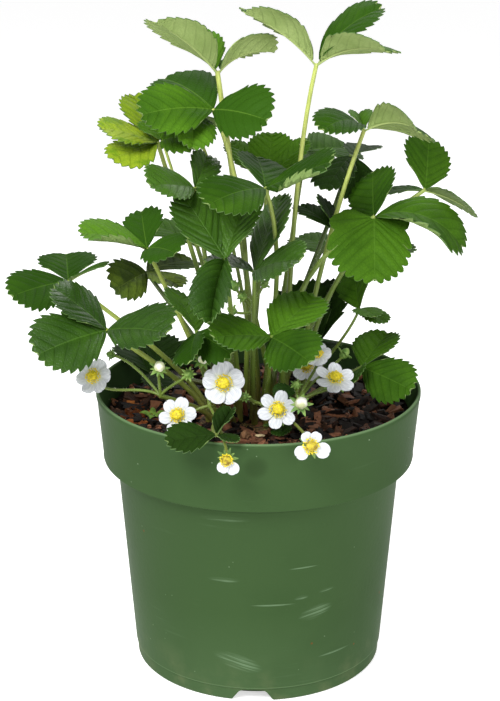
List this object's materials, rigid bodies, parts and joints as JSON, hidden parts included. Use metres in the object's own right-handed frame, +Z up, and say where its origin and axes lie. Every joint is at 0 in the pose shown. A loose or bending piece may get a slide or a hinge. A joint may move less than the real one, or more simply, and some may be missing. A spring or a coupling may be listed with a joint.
{
  "type": "potted strawberry plant",
  "caption": "Strawberry plant with toothed three-part leaves, white flowers and buds on branched stalks, growing in soil in a round green nursery pot.",
  "frame": {"origin": "middle of the flat pad under the pot, on the surface the pot stands on", "axes": "+Z up from the pot's foot to the leaves, -Y towards the front seen in the picture, +X to its right"},
  "size_m": [0.2333, 0.1876, 0.3394],
  "materials": {
    "pot": "moulded green polypropylene, satin, scuffed",
    "soil": "damp dark bark compost with red-brown chips",
    "crown": "brown woody crown with old scales",
    "leaf": "living green leaf, pleated, slightly glossy above and pale below",
    "young_leaf": "young yellow-green leaf",
    "dark_leaf": "older deep green leaf",
    "truss": "green hairy flower stalks, calyces and buds",
    "petal": "thin white petals",
    "flower_centre": "yellow receptacle with small anthers"
  },
  "bodies": {
    "root": {"pot": "pot", "soil": "soil", "crown": "crown", "leaf_top_right": "leaf", "leaf_top_left": "leaf", "leaf_upper_left": "leaf", "leaf_young_yellow": "young_leaf", "leaf_upper_left_small": "leaf", "leaf_upper_left_under": "leaf", "leaf_dark_left": "dark_leaf", "leaf_centre_broad": "leaf", "leaf_front_glossy": "leaf", "leaf_centre_pleated": "leaf", "leaf_front_centre": "leaf", "leaf_front_left": "leaf", "leaf_far_left": "leaf", "leaf_mid_left": "leaf", "leaf_olive_left": "dark_leaf", "leaf_low_left": "leaf", "leaf_upper_right": "leaf", "leaf_right_broad": "leaf", "leaf_far_right": "leaf", "leaf_young_back": "leaf", "leaf_back_upper": "leaf", "leaf_back_shaded": "dark_leaf", "leaf_low_right": "leaf", "leaf_mid_right": "leaf", "leaf_back_low_right": "dark_leaf", "leaf_rim_front": "leaf", "leaf_right_small": "dark_leaf", "leaf_back_low_left": "dark_leaf", "leaf_rear_left": "leaf", "leaf_rear_right": "leaf", "flower_far_left_petals": "petal", "flower_far_left_centre": "flower_centre", "bud_white_left": "petal", "truss_left": "truss", "flower_left_petals": "petal", "flower_left_centre": "flower_centre", "flower_old_front_petals": "petal", "flower_old_front_centre": "flower_centre", "bud_white_centre": "petal", "truss_front_left": "truss", "flower_front_petals": "petal", "flower_front_centre": "flower_centre", "flower_middle_petals": "petal", "flower_middle_centre": "flower_centre", "flower_old_right_petals": "petal", "flower_old_right_centre": "flower_centre", "truss_front": "truss", "flower_right_back_petals": "petal", "flower_right_back_centre": "flower_centre", "flower_right_petals": "petal", "flower_right_centre": "flower_centre", "flower_hidden_petals": "petal", "flower_hidden_centre": "flower_centre", "bud_white_right": "petal", "truss_right": "truss", "truss_upper": "truss"}
  },
  "joints": []
}
